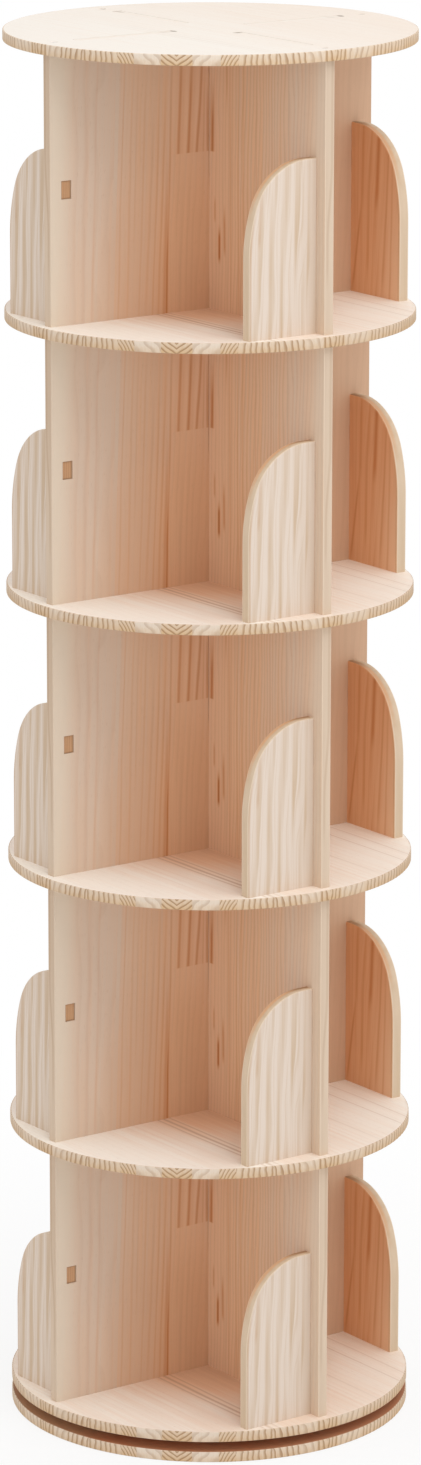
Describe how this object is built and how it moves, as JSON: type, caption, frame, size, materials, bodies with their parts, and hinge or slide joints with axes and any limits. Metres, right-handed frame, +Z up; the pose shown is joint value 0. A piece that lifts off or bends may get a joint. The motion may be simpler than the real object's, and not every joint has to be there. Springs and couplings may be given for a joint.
{
  "type": "revolving bookcase",
  "caption": "Free-standing revolving bookcase: round pine shelves with crossed panels and rounded guards, turning as one on a ball-bearing turntable over a fixed round base.",
  "frame": {"origin": "centre of the base board's underside, on the axis of turning, at floor level", "axes": "+Z up along the axis of turning; the crossed panels lie along X and Y"},
  "size_m": [0.4599, 0.46, 1.596],
  "materials": {
    "pine_boards": "sanded bare pine, edge-glued staves",
    "pine_panels": "sanded bare pine, upright grain",
    "pine_guards": "sanded bare pine, upright grain",
    "beech_dowels": "plain turned dowel",
    "aluminium_rings": "extruded and turned, satin",
    "bearing_steel": "polished bearing balls",
    "screw_steel": "zinc plated",
    "cage_nylon": "natural nylon"
  },
  "bodies": {
    "base": {"base_board": "pine_boards", "bearing_outer_ring": "aluminium_rings", "base_screws": "screw_steel"},
    "ball_set": {"bearing_balls": "bearing_steel", "ball_cage": "cage_nylon"},
    "carousel": {"bearing_inner_ring": "aluminium_rings", "ring_screws": "screw_steel", "bottom_shelf": "pine_boards", "shelf_2": "pine_boards", "shelf_3": "pine_boards", "shelf_4": "pine_boards", "shelf_5": "pine_boards", "top_board": "pine_boards", "tier_1_panel_x": "pine_panels", "tier_1_panel_y": "pine_panels", "tier_2_panel_x": "pine_panels", "tier_2_panel_y": "pine_panels", "tier_3_panel_x": "pine_panels", "tier_3_panel_y": "pine_panels", "tier_4_panel_x": "pine_panels", "tier_4_panel_y": "pine_panels", "tier_5_panel_x": "pine_panels", "tier_5_panel_y": "pine_panels", "tier_1_guard_left": "pine_guards", "tier_1_guard_front": "pine_guards", "tier_1_guard_right": "pine_guards", "tier_1_guard_back": "pine_guards", "tier_2_guard_left": "pine_guards", "tier_2_guard_front": "pine_guards", "tier_2_guard_right": "pine_guards", "tier_2_guard_back": "pine_guards", "tier_3_guard_left": "pine_guards", "tier_3_guard_front": "pine_guards", "tier_3_guard_right": "pine_guards", "tier_3_guard_back": "pine_guards", "tier_4_guard_left": "pine_guards", "tier_4_guard_front": "pine_guards", "tier_4_guard_right": "pine_guards", "tier_4_guard_back": "pine_guards", "tier_5_guard_left": "pine_guards", "tier_5_guard_front": "pine_guards", "tier_5_guard_right": "pine_guards", "tier_5_guard_back": "pine_guards", "panel_screws": "screw_steel", "guard_dowels": "beech_dowels"}
  },
  "joints": [
    {"name": "carousel_spin", "type": "hinge", "parent": "base", "child": "carousel", "pos_m": [0, 0, 0.018], "axis": [0, 0, 1], "continuous": true},
    {"name": "ball_set_roll", "type": "hinge", "parent": "base", "child": "ball_set", "pos_m": [0, 0, 0.018], "axis": [0, 0, 1], "continuous": true}
  ],
  "couplings": [
    {"joint": "ball_set_roll", "follows": "carousel_spin", "ratio": 0.488}
  ]
}
